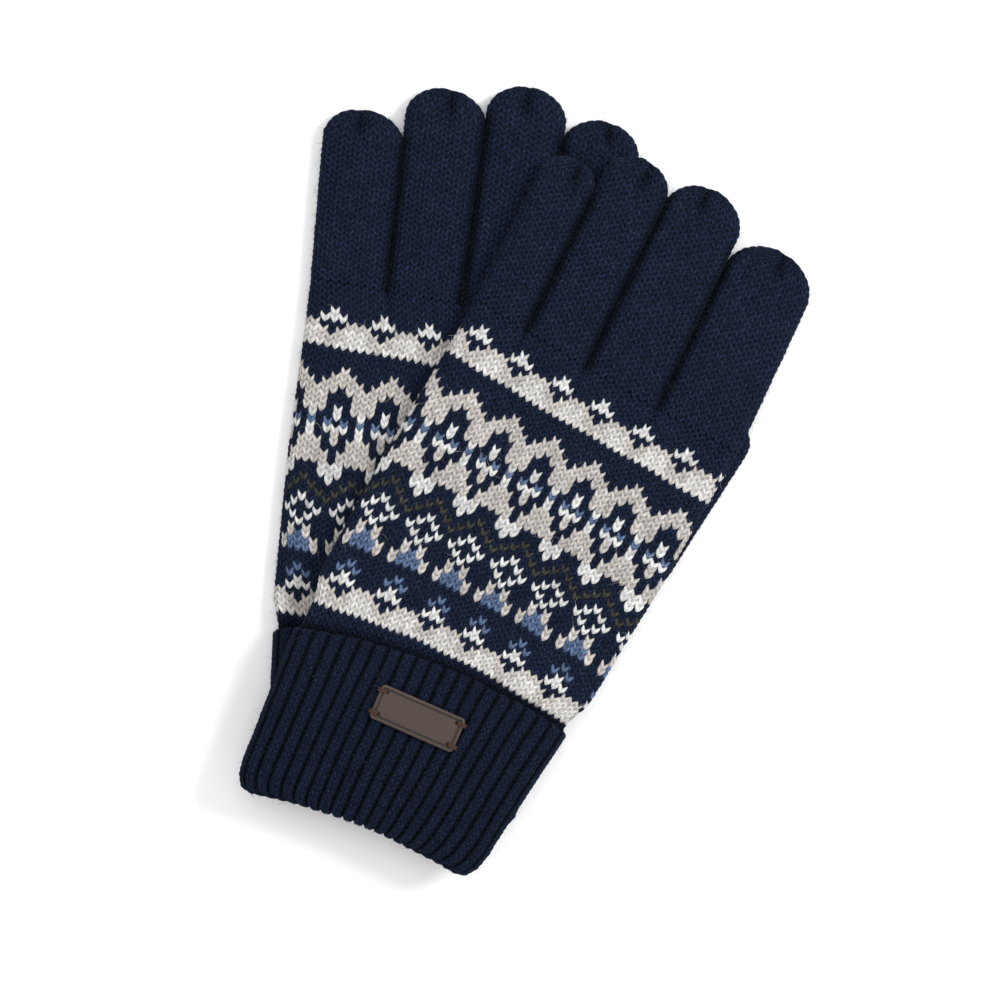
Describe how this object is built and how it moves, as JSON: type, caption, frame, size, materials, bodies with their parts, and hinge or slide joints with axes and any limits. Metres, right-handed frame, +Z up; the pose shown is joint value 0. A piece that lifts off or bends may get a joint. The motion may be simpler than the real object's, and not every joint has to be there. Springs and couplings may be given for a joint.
{
  "type": "knitted gloves",
  "caption": "Pair of colourwork knitted gloves with turned-up ribbed cuffs, lying flat and fanned, with bending fingers.",
  "frame": {"origin": "middle of the pair's outline, on the surface that the pair lies on", "axes": "+Y along the upper (left) glove towards its fingertips, +X to the right seen from above, +Z up"},
  "size_m": [0.1914, 0.2774, 0.0283],
  "materials": {
    "patterned_knit": "navy wool knitting with cream, grey and blue stranded pattern, matt and slightly fuzzy",
    "navy_knit": "plain navy wool stocking stitch, matt and slightly fuzzy",
    "navy_rib": "navy wool rib, matt and slightly fuzzy",
    "label_leather": "smooth grey-brown leather with a pressed dark border line, satin",
    "tack_thread": "rust-brown sewing thread"
  },
  "bodies": {
    "right_glove": {"right_hand": "patterned_knit", "right_inner_cuff": "navy_rib"},
    "left_glove": {"left_hand": "patterned_knit", "left_inner_cuff": "navy_rib"},
    "right_cuff": {"right_turned_cuff": "navy_rib"},
    "left_cuff": {"left_turned_cuff": "navy_rib", "leather_label": "label_leather", "label_tacks": "tack_thread"},
    "right_thumb_body": {"right_thumb": "navy_knit"},
    "left_thumb_body": {"left_thumb": "navy_knit"},
    "right_little": {"right_little_finger": "navy_knit"},
    "right_ring": {"right_ring_finger": "navy_knit"},
    "right_middle": {"right_middle_finger": "navy_knit"},
    "right_index": {"right_index_finger": "navy_knit"},
    "left_little": {"left_little_finger": "navy_knit"},
    "left_ring": {"left_ring_finger": "navy_knit"},
    "left_middle": {"left_middle_finger": "navy_knit"},
    "left_index": {"left_index_finger": "navy_knit"}
  },
  "joints": [
    {"name": "left_glove_lift", "type": "slide", "parent": "right_glove", "child": "left_glove", "axis": [0, 0, 1], "range_m": [0, 0.11]},
    {"name": "right_little_bend", "type": "hinge", "parent": "right_glove", "child": "right_little", "pos_m": [-0.06162, 0.03954, 0.0082], "axis": [0.9563, 0.2924, 0], "range_deg": [0, 76]},
    {"name": "right_ring_bend", "type": "hinge", "parent": "right_glove", "child": "right_ring", "pos_m": [-0.03484, 0.04772, 0.0082], "axis": [0.9563, 0.2924, 0], "range_deg": [0, 76]},
    {"name": "right_middle_bend", "type": "hinge", "parent": "right_glove", "child": "right_middle", "pos_m": [-0.00806, 0.05591, 0.0082], "axis": [0.9563, 0.2924, 0], "range_deg": [0, 76]},
    {"name": "right_index_bend", "type": "hinge", "parent": "right_glove", "child": "right_index", "pos_m": [0.01871, 0.0641, 0.0082], "axis": [0.9563, 0.2924, 0], "range_deg": [0, 76]},
    {"name": "right_thumb_swing", "type": "hinge", "parent": "right_glove", "child": "right_thumb_body", "pos_m": [0.05874, -0.00544, 0.0041], "axis": [0, 0, -1], "range_deg": [0, 36]},
    {"name": "right_cuff_pull", "type": "slide", "parent": "right_glove", "child": "right_cuff", "axis": [0.2924, -0.9563, 0], "range_m": [0, 0.045]},
    {"name": "left_little_bend", "type": "hinge", "parent": "left_glove", "child": "left_little", "pos_m": [-0.00781, 0.05458, 0.0172], "axis": [1, 0, 0], "range_deg": [0, 76]},
    {"name": "left_ring_bend", "type": "hinge", "parent": "left_glove", "child": "left_ring", "pos_m": [0.01579, 0.05458, 0.0172], "axis": [1, 0, 0], "range_deg": [0, 76]},
    {"name": "left_middle_bend", "type": "hinge", "parent": "left_glove", "child": "left_middle", "pos_m": [0.04349, 0.05458, 0.0172], "axis": [1, 0, 0], "range_deg": [0, 76]},
    {"name": "left_index_bend", "type": "hinge", "parent": "left_glove", "child": "left_index", "pos_m": [0.07539, 0.05458, 0.0172], "axis": [1, 0, 0], "range_deg": [0, 76]},
    {"name": "left_thumb_swing", "type": "hinge", "parent": "left_glove", "child": "left_thumb_body", "pos_m": [0.08029, 0.00238, 0.0045], "axis": [0, 0, -1], "range_deg": [0, 50]},
    {"name": "left_cuff_pull", "type": "slide", "parent": "left_glove", "child": "left_cuff", "axis": [0, -1, 0], "range_m": [0, 0.055]}
  ],
  "couplings": [
    {"joint": "right_middle_bend", "follows": "left_glove_lift", "rad_per_m": 12},
    {"joint": "right_index_bend", "follows": "left_glove_lift", "rad_per_m": 12},
    {"joint": "right_thumb_swing", "follows": "left_glove_lift", "rad_per_m": 5.6}
  ]
}
